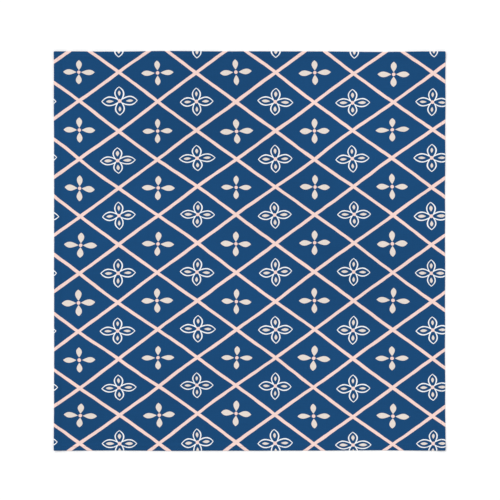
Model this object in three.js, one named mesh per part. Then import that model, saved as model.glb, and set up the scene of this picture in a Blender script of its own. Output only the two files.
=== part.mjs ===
// Furoshiki: one square-looking cotton wrapping cloth, hemmed on all four edges and lying flat, printed face up.
// Millimetres, +Z up. The origin is the middle of the underside, +X is to the right and +Y is towards the head of the cloth.
// The cloth is one solid: a single sheet, with its hems folded from the same sheet and pressed into its edges.

import * as THREE from "three";

// ---- finished cloth ----
const WIDTH = 500; // along X, outside fold to outside fold
const LENGTH = 510; // along Y
const FIELD_THICK = 1.0; // the single layer, with the loft that handling leaves in it
const CORNER_RADIUS = 1.5; // a folded and pressed corner is never quite sharp, in plan

// ---- hem: the edge turned under twice, about 6 mm wide ----
const HEM_EXTRA = 0.5; // what the folded layers add to the field's thickness
const CORNER_EXTRA = 0.3; // what two crossing hems add to that
// Across the hem on the printed face, from its outside fold inwards to the open field.
//   inset: distance from the outside fold
//   layers: share of HEM_EXTRA that is present there
//   drop: how far the face falls away over the round of the fold
const FACE_SECTION = [
  { inset: 0.0, layers: 1.0, drop: 0.52 },
  { inset: 0.2, layers: 1.0, drop: 0.22 },
  { inset: 0.5, layers: 1.0, drop: 0.05 },
  { inset: 0.9, layers: 1.0, drop: 0.0 },
  { inset: 1.5, layers: 1.0, drop: 0.0 },
  { inset: 4.9, layers: 1.0, drop: 0.0 },
  { inset: 5.6, layers: 0.78, drop: 0.0 },
  { inset: 6.3, layers: 0.3, drop: 0.0 },
  { inset: 7.2, layers: 0.0, drop: 0.0 },
];
// The same on the underside, which is flat inside the round of the fold.
//   lift: how far the underside clears what the cloth lies on
const UNDER_SECTION = [
  { inset: 0.0, lift: 0.48 },
  { inset: 0.2, lift: 0.18 },
  { inset: 0.5, lift: 0.04 },
  { inset: 0.9, lift: 0.0 },
  { inset: CORNER_RADIUS, lift: 0.0 },
];

// Stations along one side of the cloth: the table from one outside fold inwards, then the same from the other fold.
function stations(section, side) {
  const near = section.map((row) => ({ ...row, at: -side / 2 + row.inset }));
  const far = section.map((row) => ({ ...row, at: side / 2 - row.inset })).reverse();
  return [...near, ...far];
}

// Rounds the cloth's corners in plan. The square of side CORNER_RADIUS in each corner is drawn onto a quarter disc.
function rounded(x, y) {
  const cx = WIDTH / 2 - CORNER_RADIUS;
  const cy = LENGTH / 2 - CORNER_RADIUS;
  const u = Math.max(Math.abs(x) - cx, 0) / CORNER_RADIUS;
  const v = Math.max(Math.abs(y) - cy, 0) / CORNER_RADIUS;
  if (u === 0 || v === 0) return [x, y];
  return [
    Math.sign(x) * (cx + CORNER_RADIUS * u * Math.sqrt(1 - (v * v) / 2)),
    Math.sign(y) * (cy + CORNER_RADIUS * v * Math.sqrt(1 - (u * u) / 2)),
  ];
}

// Height of the printed face, and of the underside, where a station across meets a station along.
function faceHeight(a, b) {
  return (
    FIELD_THICK +
    HEM_EXTRA * Math.max(a.layers, b.layers) +
    CORNER_EXTRA * a.layers * b.layers -
    Math.max(a.drop, b.drop)
  );
}
function underHeight(a, b) {
  return Math.max(a.lift, b.lift);
}

// One side of the sheet: a grid of points over the stations, cut into triangles that face up or down, and its rim,
// walked once round anticlockwise from above. A rim point's turn counts the sides and the share of a side walked.
function sheetSide(section, height, up, position, index) {
  const across = stations(section, WIDTH);
  const along = stations(section, LENGTH);
  const nx = across.length;
  const ny = along.length;
  const first = position.length / 3;
  const id = (i, j) => first + j * nx + i;
  for (const b of along) {
    for (const a of across) position.push(...rounded(a.at, b.at), height(a, b));
  }
  for (let j = 0; j < ny - 1; j += 1) {
    for (let i = 0; i < nx - 1; i += 1) {
      const p = [id(i, j), id(i + 1, j), id(i + 1, j + 1), id(i, j + 1)];
      // The diagonal runs towards the middle of the cloth in each corner, so that all four corners match.
      const falls = i < (nx - 1) / 2 !== j < (ny - 1) / 2;
      const cut = falls ? [[p[0], p[1], p[3]], [p[1], p[2], p[3]]] : [[p[0], p[1], p[2]], [p[0], p[2], p[3]]];
      for (const t of cut) index.push(...(up ? t : [t[0], t[2], t[1]]));
    }
  }
  const shareX = across.map((a) => (a.at + WIDTH / 2) / WIDTH);
  const shareY = along.map((b) => (b.at + LENGTH / 2) / LENGTH);
  const rim = [];
  for (let i = 0; i < nx - 1; i += 1) rim.push({ id: id(i, 0), turn: shareX[i] });
  for (let j = 0; j < ny - 1; j += 1) rim.push({ id: id(nx - 1, j), turn: 1 + shareY[j] });
  for (let i = nx - 1; i > 0; i -= 1) rim.push({ id: id(i, ny - 1), turn: 3 - shareX[i] });
  for (let j = ny - 1; j > 0; j -= 1) rim.push({ id: id(0, j), turn: 4 - shareY[j] });
  rim.push({ id: id(0, 0), turn: 4 });
  return rim;
}

// The closed sheet: the printed face, the underside, and the narrow outside of the fold that joins their rims.
function clothGeometry() {
  const position = [];
  const index = [];
  const face = sheetSide(FACE_SECTION, faceHeight, true, position, index);
  const under = sheetSide(UNDER_SECTION, underHeight, false, position, index);
  let i = 0;
  let j = 0;
  while (i < face.length - 1 || j < under.length - 1) {
    const faceNext = i < face.length - 1 ? face[i + 1].turn : Infinity;
    const underNext = j < under.length - 1 ? under[j + 1].turn : Infinity;
    if (underNext <= faceNext) {
      index.push(under[j].id, under[j + 1].id, face[i].id);
      j += 1;
    } else {
      index.push(under[j].id, face[i + 1].id, face[i].id);
      i += 1;
    }
  }
  const geometry = new THREE.BufferGeometry();
  geometry.setAttribute("position", new THREE.Float32BufferAttribute(position, 3));
  geometry.setIndex(index);
  geometry.computeVertexNormals();
  return geometry;
}

const cotton = new THREE.MeshStandardMaterial({
  name: "printed_cotton",
  color: new THREE.Color().setRGB(28 / 255, 74 / 255, 118 / 255, THREE.SRGBColorSpace),
  roughness: 0.85,
  metalness: 0,
});

const cloth = new THREE.Mesh(clothGeometry(), cotton);
cloth.name = "cloth";

const furoshiki = new THREE.Group();
furoshiki.name = "furoshiki";
furoshiki.add(cloth);

export default furoshiki;
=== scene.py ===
import bpy
import numpy as np
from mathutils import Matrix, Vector


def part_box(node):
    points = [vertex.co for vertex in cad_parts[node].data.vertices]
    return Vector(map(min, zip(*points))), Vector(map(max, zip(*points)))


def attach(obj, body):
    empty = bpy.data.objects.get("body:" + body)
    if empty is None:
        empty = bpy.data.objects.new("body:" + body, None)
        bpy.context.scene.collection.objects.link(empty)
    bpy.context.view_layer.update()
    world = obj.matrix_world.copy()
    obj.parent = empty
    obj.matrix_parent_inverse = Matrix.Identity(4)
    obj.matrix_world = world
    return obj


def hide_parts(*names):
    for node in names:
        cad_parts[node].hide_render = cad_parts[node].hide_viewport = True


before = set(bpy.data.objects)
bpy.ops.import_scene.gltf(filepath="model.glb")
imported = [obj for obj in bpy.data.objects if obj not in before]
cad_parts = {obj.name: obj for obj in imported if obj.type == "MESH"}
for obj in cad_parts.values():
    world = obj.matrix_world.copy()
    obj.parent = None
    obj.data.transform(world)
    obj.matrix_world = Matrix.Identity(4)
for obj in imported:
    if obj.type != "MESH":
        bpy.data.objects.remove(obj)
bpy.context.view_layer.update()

# A furoshiki lying flat, printed face up. One thin cotton sheet is folded under twice on all four edges and stitched.
# The sheet is worked out in millimetres and written in metres, in the CAD frame.

low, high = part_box("cloth")
WIDTH, LENGTH = (high.x - low.x) * 1000, (high.y - low.y) * 1000
MIDDLE = ((low + high) / 2) * 1000
FLOOR = low.z * 1000

# ---- the cloth ----
THICK = 0.42  # one layer of the cotton
LAYER = 0.47  # from one layer's middle to the next, in a pressed hem
HEM = 6.0  # from the outside fold to the inner fold
RAW = 1.6  # where the raw edge ends, inside the hem
FALL = 4.5  # the face comes down from the hem to the field over this distance
STITCH_INSET = 4.9  # the hem's stitching, from the outside fold
CORNER_PRESS = 0.45  # how much thinner the layers are pressed where two hems cross
STITCH_PRESS = 0.20  # and along the stitching
STITCH_LIFT = 0.12  # how far the stitching draws the underside up
CORNER_RADIUS = 1.0
FIELD_STEP = 4.95  # 5 would leave both counts of steps at a half, where they could round either way
CLEAR = 0.03  # between the cloth and the floor

IN_HEM = [1.5, 2.3, 3.3, 4.0, 4.5, 4.9]  # every layer has stations at these insets, so pressed layers don't cross
ACROSS_HEM = [*IN_HEM, 5.3, 5.8, 6.3, 6.9, 7.5, 8.2, 8.9, 9.7, 10.5, 12.5]
OUTER_TURN = [90, 68, 43, 15, -15, -43, -68, -90]
UNDER_HEM = IN_HEM
INNER_TURN = [-90, -56, -20, 20, 56, 90]
INSIDE_HEM = [*IN_HEM[:0:-1], RAW]
TOP, OUTER, UNDER, INNER, INSIDE = range(5)


def half_section(half):
    """The sheet's stations from its middle to one raw edge: which stretch of the section each is on, its inset or angle, its inset from the outside fold, and its place on the flat cloth."""
    rows = []
    field = half - ACROSS_HEM[-1]
    steps = round(field / FIELD_STEP)
    insets = [half - field * i / steps for i in range(steps)] + ACROSS_HEM[::-1]
    for inset in insets:
        rows.append((TOP, inset, inset, half - inset))
    fold = LAYER + THICK / 2
    flat = half - fold
    for angle in OUTER_TURN:
        rows.append((OUTER, np.radians(angle), 0.4, flat + LAYER * np.radians(90 - angle)))
    flat += LAYER * np.pi
    for inset in UNDER_HEM:
        rows.append((UNDER, inset, inset, flat + inset - fold))
    flat += HEM - LAYER / 2 - THICK / 2 - fold
    for angle in INNER_TURN:
        rows.append((INNER, np.radians(angle), 5.6, flat + LAYER / 2 * np.radians(angle + 90)))
    flat += LAYER / 2 * np.pi
    for inset in INSIDE_HEM:
        rows.append((INSIDE, inset, inset, flat + (HEM - LAYER / 2 - THICK / 2) - inset))
    return rows


def section(side):
    """The whole width of the sheet, raw edge to raw edge, as arrays."""
    right = half_section(side / 2)
    left = [(k, v, d, -f) for k, v, d, f in right[:0:-1]]
    kind, value, inset, flat = (np.array(x, float) for x in zip(*(left + right)))
    sign = np.array([-1.0] * len(left) + [1.0] * len(right))
    return kind.astype(int), value, inset, flat, sign


def smooth(x, start, end):
    t = np.clip((x - start) / (end - start), 0, 1)
    return t * t * (3 - 2 * t)


def in_hem(inset):
    """1 over the hem, falling to 0 where the face has come down to the field."""
    return 1 - smooth(inset, HEM - 0.1, HEM + FALL)


def turned(kind, value, sign, half, h, top, mid, bottom, c):
    """Where a point h above the middle of a stack of layers comes to lie once the edge is turned under twice: its place along the section and its height. top, mid and bottom are the levels of the three stacks, and c is how far they are pressed."""
    outer, inner = (top - bottom) / 2, (mid - bottom) / 2
    flat_place = half - np.where((kind == OUTER) | (kind == INNER), 0, value)
    place = {
        TOP: (flat_place, top + h),
        OUTER: (half - outer - THICK / 2 * c + (outer + h) * np.cos(value), (top + bottom) / 2 + (outer + h) * np.sin(value)),
        UNDER: (flat_place, bottom - h),
        INNER: (half - HEM + inner + THICK / 2 * c - (inner + h) * np.cos(value), (mid + bottom) / 2 + (inner + h) * np.sin(value)),
        INSIDE: (flat_place, mid + h),
    }
    along = sum(np.where(kind == k, p, 0) for k, (p, _) in place.items())
    height = sum(np.where(kind == k, z, 0) for k, (_, z) in place.items())
    return sign * along, height


def waves(x, y, seed, count, longest, shortest):
    """A smooth uneven surface of about -1 to 1, as a sum of a few long waves."""
    rng = np.random.default_rng(seed)
    total = np.zeros(np.broadcast(x, y).shape)
    for i in range(count):
        length = longest * (shortest / longest) ** (i / max(count - 1, 1))
        way, start = rng.uniform(0, np.pi), rng.uniform(0, 2 * np.pi)
        total = total + np.sin(2 * np.pi * (x * np.cos(way) + y * np.sin(way)) / length + start) * (length / longest) ** 0.5
    return total / (0.62 * count**0.5)


def lie(x, y, z):
    """How the limp cloth really lies: low rounds where it isn't quite down, ripples where the stitching holds the edge, sides that aren't ruled and corners that aren't sharp."""
    inset_x, inset_y = WIDTH / 2 - np.abs(x), LENGTH / 2 - np.abs(y)
    edge = np.minimum(inset_x, inset_y)
    n = waves(x, y, 11, 7, 330, 95)
    rise = 1.3 * np.logaddexp(0, 2.4 * (n - 0.25)) / 2.4
    rise = rise * (0.35 + 0.65 * smooth(edge, 0, 45))
    along_x = np.abs(waves(x, 0 * y, 23, 5, 41, 15) + 0.35 * waves(x, 0 * y, 24, 3, 120, 60))
    along_y = np.abs(waves(0 * x, y, 29, 5, 39, 15) + 0.35 * waves(0 * x, y, 30, 3, 130, 55))
    held_y = np.exp(-(((inset_y - 11) / 10) ** 2)) * smooth(inset_x, 2, 22)
    held_x = np.exp(-(((inset_x - 11) / 10) ** 2)) * smooth(inset_y, 2, 22)
    ripple = 0.3 * along_x * held_y + 0.3 * along_y * held_x
    curl = 1.1 * (np.exp(-((inset_x + inset_y) / 34) * (1.0 + 0.35 * np.sign(x) - 0.2 * np.sign(y))))
    side_x = 0.28 * waves(0 * x, y, 41, 4, 260, 70) * np.sign(x) * (0.8 + 0.2 * np.sign(x)) * np.exp(-inset_x / 60)
    side_y = 0.28 * waves(x, 0 * y, 43, 4, 240, 80) * np.sign(y) * (0.8 + 0.2 * np.sign(y)) * np.exp(-inset_y / 60)
    cx, cy = WIDTH / 2 - CORNER_RADIUS, LENGTH / 2 - CORNER_RADIUS
    u, v = (np.clip((np.abs(s) - c) / CORNER_RADIUS, 0, 1) for s, c in ((x, cx), (y, cy)))
    round_x = np.where((u > 0) & (v > 0), np.sign(x) * CORNER_RADIUS * u * (np.sqrt(1 - v * v / 2) - 1), 0)
    round_y = np.where((u > 0) & (v > 0), np.sign(y) * CORNER_RADIUS * v * (np.sqrt(1 - u * u / 2) - 1), 0)
    return x + side_x + round_x, y + side_y + round_y, z + rise + ripple + curl


ku, vu, du, fu, su = section(WIDTH)
kv, vv, dv, fv, sv = section(LENGTH)
NX, NY = len(ku), len(kv)


def pressed(inset_x, inset_y):
    """How thin the layers are pressed, and how far the stitching lifts the underside."""
    line_x = np.exp(-(((inset_x - STITCH_INSET) / 0.45) ** 2)) * smooth(inset_y, STITCH_INSET - 0.9, STITCH_INSET)
    line_y = np.exp(-(((inset_y - STITCH_INSET) / 0.45) ** 2)) * smooth(inset_x, STITCH_INSET - 0.9, STITCH_INSET)
    crossed = in_hem(inset_x) * in_hem(inset_y)
    line = np.maximum(line_x, line_y) * (1 - 0.85 * crossed)  # a thick corner hardly gives way to the stitching
    return (1 - CORNER_PRESS * crossed) * (1 - STITCH_PRESS * line), STITCH_LIFT * line


def surface(w):
    """One face of the sheet, w from its middle: the points of the whole folded sheet, by station along and across."""
    i = dict(kind=ku[None, :], value=vu[None, :], sign=su[None, :])
    j = dict(kind=kv[:, None], value=vv[:, None], sign=sv[:, None])
    inset_x, inset_y = du[None, :], dv[:, None]
    c, lift = pressed(inset_x, inset_y)
    in_x, in_y = in_hem(inset_x), in_hem(inset_y)
    # The left and right edges are turned first. Heights are from the middle of the top layer.
    x, h = turned(**i, half=WIDTH / 2, h=w * c, top=0 * c, mid=-LAYER * c, bottom=-2 * LAYER * c, c=c)
    # The near and far edges are turned over them.
    bottom = THICK / 2 * c
    mid = bottom + LAYER * c * (1 + 4 * in_x)
    top = bottom + LAYER * c * (2 * in_x + 2 * in_y + 4 * in_x * in_y)
    y, z = turned(**j, half=LENGTH / 2, h=h, top=top, mid=mid, bottom=bottom, c=c)
    x, y = np.broadcast_arrays(x, y)
    return lie(x, y, z + CLEAR + lift)


def to_frame(x, y, z):
    points = np.stack([x + MIDDLE.x, y + MIDDLE.y, z + FLOOR], -1) / 1000
    return points.reshape(-1, 3)


def make_mesh(name, points, faces, uvs, slots=None):
    me = bpy.data.meshes.new(name)
    me.from_pydata(points.tolist(), [], faces)
    for layer, uv in uvs.items():
        made = me.uv_layers.new(name=layer, do_init=False)
        made.uv.foreach_set("vector", np.asarray(uv, np.float32).ravel())
    if slots is not None:
        me.polygons.foreach_set("material_index", np.asarray(slots, np.int32))
    me.polygons.foreach_set("use_smooth", np.ones(len(me.polygons), bool))
    me.update()
    ob = bpy.data.objects.new(name, me)
    bpy.context.scene.collection.objects.link(ob)
    return ob


def make_cloth():
    face, back = surface(THICK / 2), surface(-THICK / 2)
    points = np.concatenate([to_frame(*face), to_frame(*back)])
    at = np.arange(NX * NY).reshape(NY, NX)
    a, b, c, d = at[:-1, :-1], at[:-1, 1:], at[1:, 1:], at[1:, :-1]
    printed = np.stack([a, b, c, d], -1).reshape(-1, 4)
    reverse = np.stack([a, d, c, b], -1).reshape(-1, 4) + NX * NY
    rim = np.concatenate([at[0, :], at[1:, -1], at[-1, -2::-1], at[-2:0:-1, 0]])
    step = np.roll(rim, -1)
    edges = np.stack([rim + NX * NY, step + NX * NY, step, rim], -1)
    faces = np.concatenate([printed, reverse, edges])
    # The flat cloth's own coordinates, in metres, carry the print round every fold.
    flat = np.stack(np.broadcast_arrays(fu[None, :], fv[:, None]), -1).reshape(-1, 2) / 1000
    flat = np.concatenate([flat, flat])
    # The OFBake map gives the printed face most of the room and the reverse a strip below it.
    cut = np.array([fu[-1], fv[-1]]) / 1000
    unit = flat / (2 * cut) * 0.992 + 0.5
    room = 0.22
    bake = np.empty_like(unit)
    bake[: NX * NY] = unit[: NX * NY] * (1, 1 - room) + (0, room)
    bake[NX * NY :] = unit[NX * NY :] * (-1, room - 0.006) + (1, 0)
    corners = faces.ravel()
    bake_corners = bake[corners]
    # The raw edges are narrow faces between the two sides. Each lies along the rim of the printed face.
    first = (len(printed) + len(reverse)) * 4
    rim_uv = bake[edges % (NX * NY)]
    outward = np.sign(rim_uv - (0.5, 0.5 + room / 2)) * 0.0015
    rim_uv[:, :2] = rim_uv[:, :2] + outward[:, :2]
    bake_corners[first:] = rim_uv.reshape(-1, 2)
    slots = np.concatenate([np.zeros(len(printed)), np.ones(len(reverse) + len(edges))])
    return make_mesh("folded_cloth", points, faces.tolist(), {"Flat": flat[corners], "OFBake": bake_corners}, slots)


# ---- the stitching ----
STITCH = 2.5  # from needle hole to needle hole
THREAD = 0.18  # the thread's diameter


def face_height(x, y, over):
    """The height of the cloth's face along the stitching, or of its underside."""
    inset_x, inset_y = WIDTH / 2 - np.abs(x), LENGTH / 2 - np.abs(y)
    c, lift = pressed(inset_x, inset_y)
    in_x, in_y = in_hem(inset_x), in_hem(inset_y)
    top = THICK * c + LAYER * c * (2 * in_x + 2 * in_y + 4 * in_x * in_y)
    return lie(x, y, (top if over else 0 * top) + CLEAR + lift)


def make_stitches():
    rng = np.random.default_rng(7)
    rx, ry = WIDTH / 2 - STITCH_INSET, LENGTH / 2 - STITCH_INSET
    corners = np.array([(-rx, -ry), (rx, -ry), (rx, ry), (-rx, ry)])
    starts, ways = [], []
    for k in range(4):
        p, q = corners[k], corners[(k + 1) % 4]
        length = np.linalg.norm(q - p)
        count = round(length / STITCH)
        t = np.arange(count) * length / count
        starts.append(p + t[:, None] * (q - p) / length)
        ways.append(np.repeat([(q - p) / length], count, 0))
    start, way = np.concatenate(starts), np.concatenate(ways)
    count = len(start)
    wander = rng.normal(0, 0.05, (count, 1)) * np.stack([-way[:, 1], way[:, 0]], 1)
    slant = rng.normal(0.035, 0.02, (count, 1))
    across = np.stack([-way[:, 1], way[:, 0]], 1)
    rings, sides = 7, 6
    share = np.linspace(0, 1, rings)
    arch = np.array([-0.22, -0.06, 0.05, 0.08, 0.05, -0.06, -0.22])
    girth = np.array([0.6, 0.92, 1.0, 1.04, 1.0, 0.92, 0.6])
    points, faces, uvs = [], [], []
    ring = np.arange(sides)
    steps = [(r, s) for r in range(rings - 1) for s in range(sides)]
    body = np.array([[a * sides + b % sides for a, b in ((r, s), (r, s + 1), (r + 1, s + 1), (r + 1, s))] for r, s in steps])
    body_uv = np.array([[(a / (rings - 1), b / sides) for a, b in ((r, s), (r, s + 1), (r + 1, s + 1), (r + 1, s))] for r, s in steps])
    # Closed ends, inside the needle holes. Each has a speck of its own in its stitch's cell of the OFBake map.
    ends = np.array([ring[::-1], (rings - 1) * sides + ring])
    speck = np.stack([np.cos(2 * np.pi * ring / sides), np.sin(2 * np.pi * ring / sides)], -1) * 0.02
    ends_uv = np.stack([speck[::-1] + (0.25, -0.028), speck + (0.75, -0.028)])
    cells = 40
    for side, over in enumerate((True, False)):
        reach = STITCH * rng.normal(0.93, 0.02, (count, 1, 1))
        along = share[None, :, None] * reach + (STITCH - reach) / 2
        centre = (start + wander)[:, None, :] + way[:, None, :] * along + (across * slant)[:, None, :] * (along - STITCH / 2)
        x, y, z = face_height(centre[..., 0], centre[..., 1], over)
        bulge = arch[None, :] * (1 + rng.normal(0, 0.06, (count, 1)))
        z = z + bulge if over else np.maximum(z - bulge * 0.9, THREAD * 0.5 * girth[None, :] + 0.005)
        angle = 2 * np.pi * (ring + 0.5) / sides
        radius = THREAD / 2 * girth[None, :, None]
        px = x[..., None] + across[:, None, None, 0] * np.cos(angle) * radius
        py = y[..., None] + across[:, None, None, 1] * np.cos(angle) * radius
        pz = z[..., None] + np.sin(angle) * radius * (0.9 if over else 0.8)
        if not over:
            pz = np.maximum(pz, 0.008)
        base = len(points) * count * rings * sides
        points.append(to_frame(px, py, pz))
        first = np.arange(count)[:, None, None] * rings * sides + base
        cell = np.arange(count) + side * count
        corner = np.stack([cell % cells, cell // cells], -1)[:, None, None, :]
        for shape, shape_uv in ((body, body_uv), (ends, ends_uv)):
            faces.append((first + shape).reshape(-1, shape.shape[1]))
            uvs.append(((shape_uv * 0.9 + 0.05 + corner) / cells).reshape(-1, 2))
    all_points = np.concatenate(points)
    all_faces = [f for block in faces for f in block.tolist()]
    return make_mesh("hem_stitches", all_points, all_faces, {"OFBake": np.concatenate(uvs)})


# ---- materials ----
class Sig:
    """A value inside a node tree, so that a pattern reads as arithmetic."""

    def __init__(self, tree, socket):
        self.tree, self.socket = tree, socket

    def op(self, kind, *others, clamp=False):
        node = self.tree.nodes.new("ShaderNodeMath")
        node.operation, node.use_clamp = kind, clamp
        for slot, value in zip(node.inputs, (self, *others)):
            if isinstance(value, Sig):
                self.tree.links.new(value.socket, slot)
            else:
                slot.default_value = value
        return Sig(self.tree, node.outputs[0])

    def __add__(self, o):
        return self.op("ADD", o)

    def __radd__(self, o):
        return self.op("ADD", o)

    def __sub__(self, o):
        return self.op("SUBTRACT", o)

    def __rsub__(self, o):
        return (self * -1.0).op("ADD", o)

    def __mul__(self, o):
        return self.op("MULTIPLY", o)

    def __rmul__(self, o):
        return self.op("MULTIPLY", o)

    def __truediv__(self, o):
        return self.op("DIVIDE", o)

    def __abs__(self):
        return self.op("ABSOLUTE")

    def over(self, edge, soft):
        """0 below edge - soft, 1 above edge + soft."""
        return ((self - edge) / soft * 0.5 + 0.5).op("ADD", 0.0, clamp=True)


def mapped_uv(tree, name="Flat"):
    """The flat cloth's coordinates, in millimetres."""
    uv = tree.nodes.new("ShaderNodeUVMap")
    uv.uv_map = name
    split = tree.nodes.new("ShaderNodeSeparateXYZ")
    tree.links.new(uv.outputs[0], split.inputs[0])
    return Sig(tree, split.outputs[0]) * 1000.0, Sig(tree, split.outputs[1]) * 1000.0


def vector(tree, x, y, z=0.0):
    node = tree.nodes.new("ShaderNodeCombineXYZ")
    for slot, value in zip(node.inputs, (x, y, z)):
        if isinstance(value, Sig):
            tree.links.new(value.socket, slot)
        else:
            slot.default_value = value
    return node.outputs[0]


def noise(tree, x, y, z=0.0, detail=2.0, rough=0.5):
    node = tree.nodes.new("ShaderNodeTexNoise")
    node.noise_dimensions = "3D"
    node.inputs["Scale"].default_value = 1.0
    node.inputs["Detail"].default_value = detail
    node.inputs["Roughness"].default_value = rough
    tree.links.new(vector(tree, x, y, z), node.inputs["Vector"])
    return Sig(tree, node.outputs["Fac"]) - 0.5


def random_of(tree, x, y):
    node = tree.nodes.new("ShaderNodeTexWhiteNoise")
    node.noise_dimensions = "2D"
    tree.links.new(vector(tree, x, y), node.inputs["Vector"])
    split = tree.nodes.new("ShaderNodeSeparateColor")
    tree.links.new(node.outputs["Color"], split.inputs[0])
    return [Sig(tree, split.outputs[k]) - 0.5 for k in range(3)]


def mix(tree, share, a, b):
    """Colour a, turning to b as share goes to 1. Each is a socket or an RGB triple."""
    node = tree.nodes.new("ShaderNodeMix")
    node.data_type = "RGBA"
    tree.links.new(share.socket, node.inputs[0])
    for slot, value in ((node.inputs[6], a), (node.inputs[7], b)):
        if isinstance(value, tuple):
            slot.default_value = (*value, 1)
        else:
            tree.links.new(value, slot)
    return node.outputs[2]


# The print is a trellis with a four-petalled flower in each opening. All sizes in millimetres.
HALF_ACROSS, HALF_ALONG = 500 / 10, 510 / 14  # the trellis's openings, from middle to corner
SHIFT = (17.0, -9.0)  # the cloth is cut without regard to the repeat
LINE = 3.9
SLOPE = HALF_ACROSS * HALF_ALONG / (HALF_ACROSS**2 + HALF_ALONG**2) ** 0.5
# Petals point to the side and to the head: from, to, half width, and how far the widest place is moved outwards.
FULL = ((3.2, 20.2, 3.35, 0.35), (2.9, 15.8, 3.5, 0.35))
OUTLINE = ((-1.6, 21.4, 4.9, 0.38), (-1.6, 17.0, 5.0, 0.38))
CORE = ((6.8, 16.6, 1.7, 0.25), (5.9, 12.8, 1.75, 0.25))


def petal(x, y, start, end, half, lean):
    """How far inside a petal that lies along x a point is, in about millimetres."""
    t = (abs(x) - (start + end) / 2) / ((end - start) / 2)
    return (1.0 - t * t) * half * (t * lean + 1.0) - abs(y)


def the_print(tree, x, y, soft):
    """Shares of pink, cream and white ink at a point of the cloth, their edges soft millimetres wide each way."""
    # A hand-cut stencil: long gentle bows and small wavers.
    bx = noise(tree, x / 170.0, y / 170.0, 3.1, 1.0) * 9.0 + noise(tree, x / 17.0, y / 17.0, 8.3, 1.0) * 1.1
    by = noise(tree, x / 150.0, y / 150.0, 11.7, 1.0) * 9.0 + noise(tree, x / 15.0, y / 15.0, 15.9, 1.0) * 1.1
    x, y = x + bx + SHIFT[0], y + by + SHIFT[1]
    p, q = x / HALF_ACROSS + y / HALF_ALONG, x / HALF_ACROSS - y / HALF_ALONG
    i, j = (p * 0.5 + 0.5).op("FLOOR"), (q * 0.5 + 0.5).op("FLOOR")
    # Distance to the nearest line of each family.
    dp = (1.0 - abs(p - i * 2.0)) * SLOPE
    dq = (1.0 - abs(q - j * 2.0)) * SLOPE
    near = dp.op("MINIMUM", dq)
    swell = noise(tree, x / 24.0, y / 24.0, 21.3, 1.0) * 1.5
    knot = (dp + dq) * 0.62
    lines = (near.op("MINIMUM", knot) * -1.0 + (LINE / 2) + swell * 0.5).over(0.0, soft)
    # Each flower stands a little differently.
    r1, r2, r3 = random_of(tree, i, j)
    r4, r5, r6 = random_of(tree, j + 31.7, i - 12.3)
    u = (x - (i + j) * HALF_ACROSS + r1 * 1.6) * (r3 * 0.10 + 1.0)
    v = (y - (i - j) * HALF_ALONG + r2 * 1.4) * (r4 * 0.10 + 1.0)
    u, v = u + v * r5 * 0.12, v - u * r5 * 0.12
    full, outline, core = (petal(u, v, *side).op("MAXIMUM", petal(v, u, *head)) for side, head in (FULL, OUTLINE, CORE))
    # Full flowers and outlined ones take turns, row by row.
    row = (i - j) * 0.5
    odd = (row - row.op("FLOOR")) * 2.0
    cream = (full * (1.0 - odd) + core * odd + r6 * 0.5).over(0.0, soft)
    width = noise(tree, u / 8.0, v / 8.0, 27.7, 1.0) * 0.6 + 0.74
    white = (width - abs(outline)).over(0.0, soft) * odd
    centre = ((u * u + v * v).op("SQRT") * -1.0 + 2.2).over(0.0, soft)
    pink = lines.op("MAXIMUM", centre)
    return pink, cream, white


def weave(tree, x, y):
    """The height of the plain weave, from 0 to about 1, and the unevenness of its yarns."""
    warp, weft = 0.342, 0.447
    a = abs((x * (np.pi / warp)).op("SINE"))
    b = abs((y * (np.pi / weft)).op("SINE"))
    turn = ((x * (np.pi / warp)).op("SINE") * (y * (np.pi / weft)).op("SINE")).op("SIGN") * 0.5 + 0.5
    over = a * (b * 0.35 + 0.65)
    under = b * (a * 0.35 + 0.65)
    height = turn * over + (1.0 - turn) * under
    wefts = noise(tree, x / 26.0, y / 0.62, 1.0, 1.0)
    warps = noise(tree, x / 0.55, y / 34.0, 2.0, 1.0)
    return height, wefts, warps


GROUND = (0.0060, 0.0562, 0.1605)
PINK = (0.828, 0.598, 0.548)
CREAM = (0.704, 0.627, 0.570)
WHITE = (0.860, 0.864, 0.872)


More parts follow.
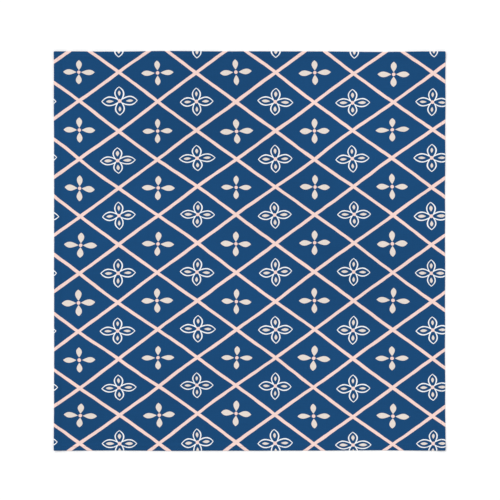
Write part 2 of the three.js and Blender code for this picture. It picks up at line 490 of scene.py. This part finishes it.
def cotton(name, printed):
    mat = bpy.data.materials.new(name)
    mat.use_nodes = True
    tree = mat.node_tree
    p = tree.nodes["Principled BSDF"]
    x, y = mapped_uv(tree)
    pink, cream, white = the_print(tree, x, y, 0.16 if printed else 0.8)
    ink = pink.op("MAXIMUM", cream.op("MAXIMUM", white))
    height, wefts, warps = weave(tree, x, y)
    blotch = noise(tree, x / 60.0, y / 60.0, 5.0, 2.0)
    slow = noise(tree, x / 190.0, y / 190.0, 14.6, 1.0)  # slow paler and darker patches across the cloth, some 190 mm across
    grain = noise(tree, x / 1.1, y / 1.1, 6.0, 2.0)
    if printed:
        colour = mix(tree, cream, GROUND, CREAM)
        colour = mix(tree, white, colour, WHITE)
        colour = mix(tree, pink, colour, PINK)
    else:
        # The dye comes through thinly: a paler ground, and the print hardly shows.
        ground = (0.085, 0.200, 0.345)
        light = (0.185, 0.290, 0.415)
        soak = noise(tree, x / 3.0, y / 3.0, 9.0, 2.0)
        shown = ink * (soak * 0.6 + 0.75)
        colour = mix(tree, shown, ground, light)
    # Yarns that took the ink unevenly, slow paler and darker patches, and painted shade in the gaps between the yarns,
    # where the weave is low.
    tone_and_gap_shade = wefts * 0.20 + warps * 0.14 + blotch * 0.12 + grain * 0.12 + height * 0.16 + slow * (0.32 - ink * 0.24) + 0.945
    lit = tree.nodes.new("ShaderNodeVectorMath")
    lit.operation = "SCALE"
    tree.links.new(colour, lit.inputs[0])
    tree.links.new(tone_and_gap_shade.socket, lit.inputs["Scale"])
    tree.links.new(lit.outputs[0], p.inputs["Base Color"])
    rough = ink * -0.05 + grain * 0.12 + 0.88
    tree.links.new(rough.socket, p.inputs["Roughness"])
    p.inputs["Specular IOR Level"].default_value = 0.12
    p.inputs["Sheen Weight"].default_value = 0.03
    p.inputs["Sheen Roughness"].default_value = 0.45
    p.inputs["Sheen Tint"].default_value = (0.75, 0.85, 1.0, 1)
    relief = height * 0.75 + wefts * 0.9 + warps * 0.5
    bump = tree.nodes.new("ShaderNodeBump")
    bump.inputs["Strength"].default_value = 0.75
    bump.inputs["Distance"].default_value = 0.00012
    tree.links.new(relief.socket, bump.inputs["Height"])
    tree.links.new(bump.outputs[0], p.inputs["Normal"])
    return mat


def thread_material():
    mat = bpy.data.materials.new("sewing_thread")
    mat.use_nodes = True
    tree = mat.node_tree
    p = tree.nodes["Principled BSDF"]
    uv = tree.nodes.new("ShaderNodeUVMap")
    uv.uv_map = "OFBake"
    split = tree.nodes.new("ShaderNodeSeparateXYZ")
    tree.links.new(uv.outputs[0], split.inputs[0])
    along, around = Sig(tree, split.outputs[0]) * 40.0, Sig(tree, split.outputs[1]) * 40.0
    stitch = random_of(tree, along.op("FLOOR"), around.op("FLOOR"))[0]
    # Two plies twist round each other once in about 1.2 mm.
    twist = ((along * 2.2 + around) * (2 * np.pi)).op("SINE") * 0.5 + 0.5
    # The colour is painted shade along the twist: darker in its groove and lighter on its crown, following the bump.
    colour = mix(tree, twist, (0.010, 0.058, 0.150), (0.016, 0.080, 0.195))
    lit = tree.nodes.new("ShaderNodeVectorMath")
    lit.operation = "SCALE"
    tree.links.new(colour, lit.inputs[0])
    tree.links.new((stitch * 0.25 + 1.0).socket, lit.inputs["Scale"])
    tree.links.new(lit.outputs[0], p.inputs["Base Color"])
    tree.links.new((twist * -0.12 + 0.62).socket, p.inputs["Roughness"])
    p.inputs["Specular IOR Level"].default_value = 0.3
    bump = tree.nodes.new("ShaderNodeBump")
    bump.inputs["Strength"].default_value = 0.6
    bump.inputs["Distance"].default_value = 0.00005
    tree.links.new(twist.socket, bump.inputs["Height"])
    tree.links.new(bump.outputs[0], p.inputs["Normal"])
    return mat


cloth = make_cloth()
cloth.data.materials.append(cotton("printed_face", True))
cloth.data.materials.append(cotton("plain_reverse", False))
stitches = make_stitches()
stitches.data.materials.append(thread_material())

for piece in (cloth, stitches):
    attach(piece, "root")
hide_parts("cloth")

# ---- floor, light and camera ----
floor_mesh = bpy.data.meshes.new("floor")
floor_mesh.from_pydata([(-30, -30, low.z), (30, -30, low.z), (30, 30, low.z), (-30, 30, low.z)], [], [(0, 1, 2, 3)])
floor = bpy.data.objects.new("floor", floor_mesh)
bpy.context.scene.collection.objects.link(floor)
floor_material = bpy.data.materials.new("pale_floor")
floor_material.use_nodes = True
floor_shader = floor_material.node_tree.nodes["Principled BSDF"]
floor_shader.inputs["Base Color"].default_value = (0.92, 0.92, 0.92, 1)
floor_shader.inputs["Roughness"].default_value = 0.95
floor_shader.inputs["Specular IOR Level"].default_value = 0.0
floor_mesh.materials.append(floor_material)

world = bpy.data.worlds.new("studio")
bpy.context.scene.world = world
world.use_nodes = True
# White all round at the height of the floor, and dimmer overhead, where the key light is.
sky = world.node_tree
direction = sky.nodes.new("ShaderNodeTexCoord")
parts = sky.nodes.new("ShaderNodeSeparateXYZ")
sky.links.new(direction.outputs["Generated"], parts.inputs[0])
dim = sky.nodes.new("ShaderNodeMapRange")
dim.inputs["From Min"].default_value, dim.inputs["From Max"].default_value = 0.15, 0.5
dim.inputs["To Min"].default_value, dim.inputs["To Max"].default_value = 1.0, 0.74
sky.links.new(parts.outputs[2], dim.inputs["Value"])
sky.links.new(dim.outputs[0], sky.nodes["Background"].inputs[1])
sky.nodes["Background"].inputs[0].default_value = (1, 1, 1, 1)

sun_data = bpy.data.lights.new("key", "SUN")
sun_data.energy = 1.43
sun_data.angle = np.radians(30)
sun = bpy.data.objects.new("key", sun_data)
sun.rotation_mode = "QUATERNION"
sun.rotation_quaternion = Vector((0.38, -0.5, -1.0)).to_track_quat("-Z", "Y")
bpy.context.scene.collection.objects.link(sun)

bpy.context.scene.view_settings.view_transform = "Standard"
bpy.context.scene.view_settings.look = "None"

# The picture is 500 by 500. The cloth is seen from straight above, 391.2 wide and 399.4 high in it, with its middle
# 0.4 to the left of the picture's and 1.0 below it.
SCALE = (WIDTH / 391.2 + LENGTH / 399.4) / 2 / 1000
camera_data = bpy.data.cameras.new("camera")
camera = bpy.data.objects.new("camera", camera_data)
bpy.context.scene.collection.objects.link(camera)
height = 2.6
camera.location = (MIDDLE.x / 1000 + 0.4 * SCALE, MIDDLE.y / 1000 + 1.0 * SCALE, low.z + height)
camera.rotation_euler = (0, 0, 0)
camera_data.sensor_width = 36
camera_data.lens = 36 * (height - 0.001) / (500 * SCALE)
camera_data.clip_start, camera_data.clip_end = 0.05, 20
bpy.context.scene.camera = camera
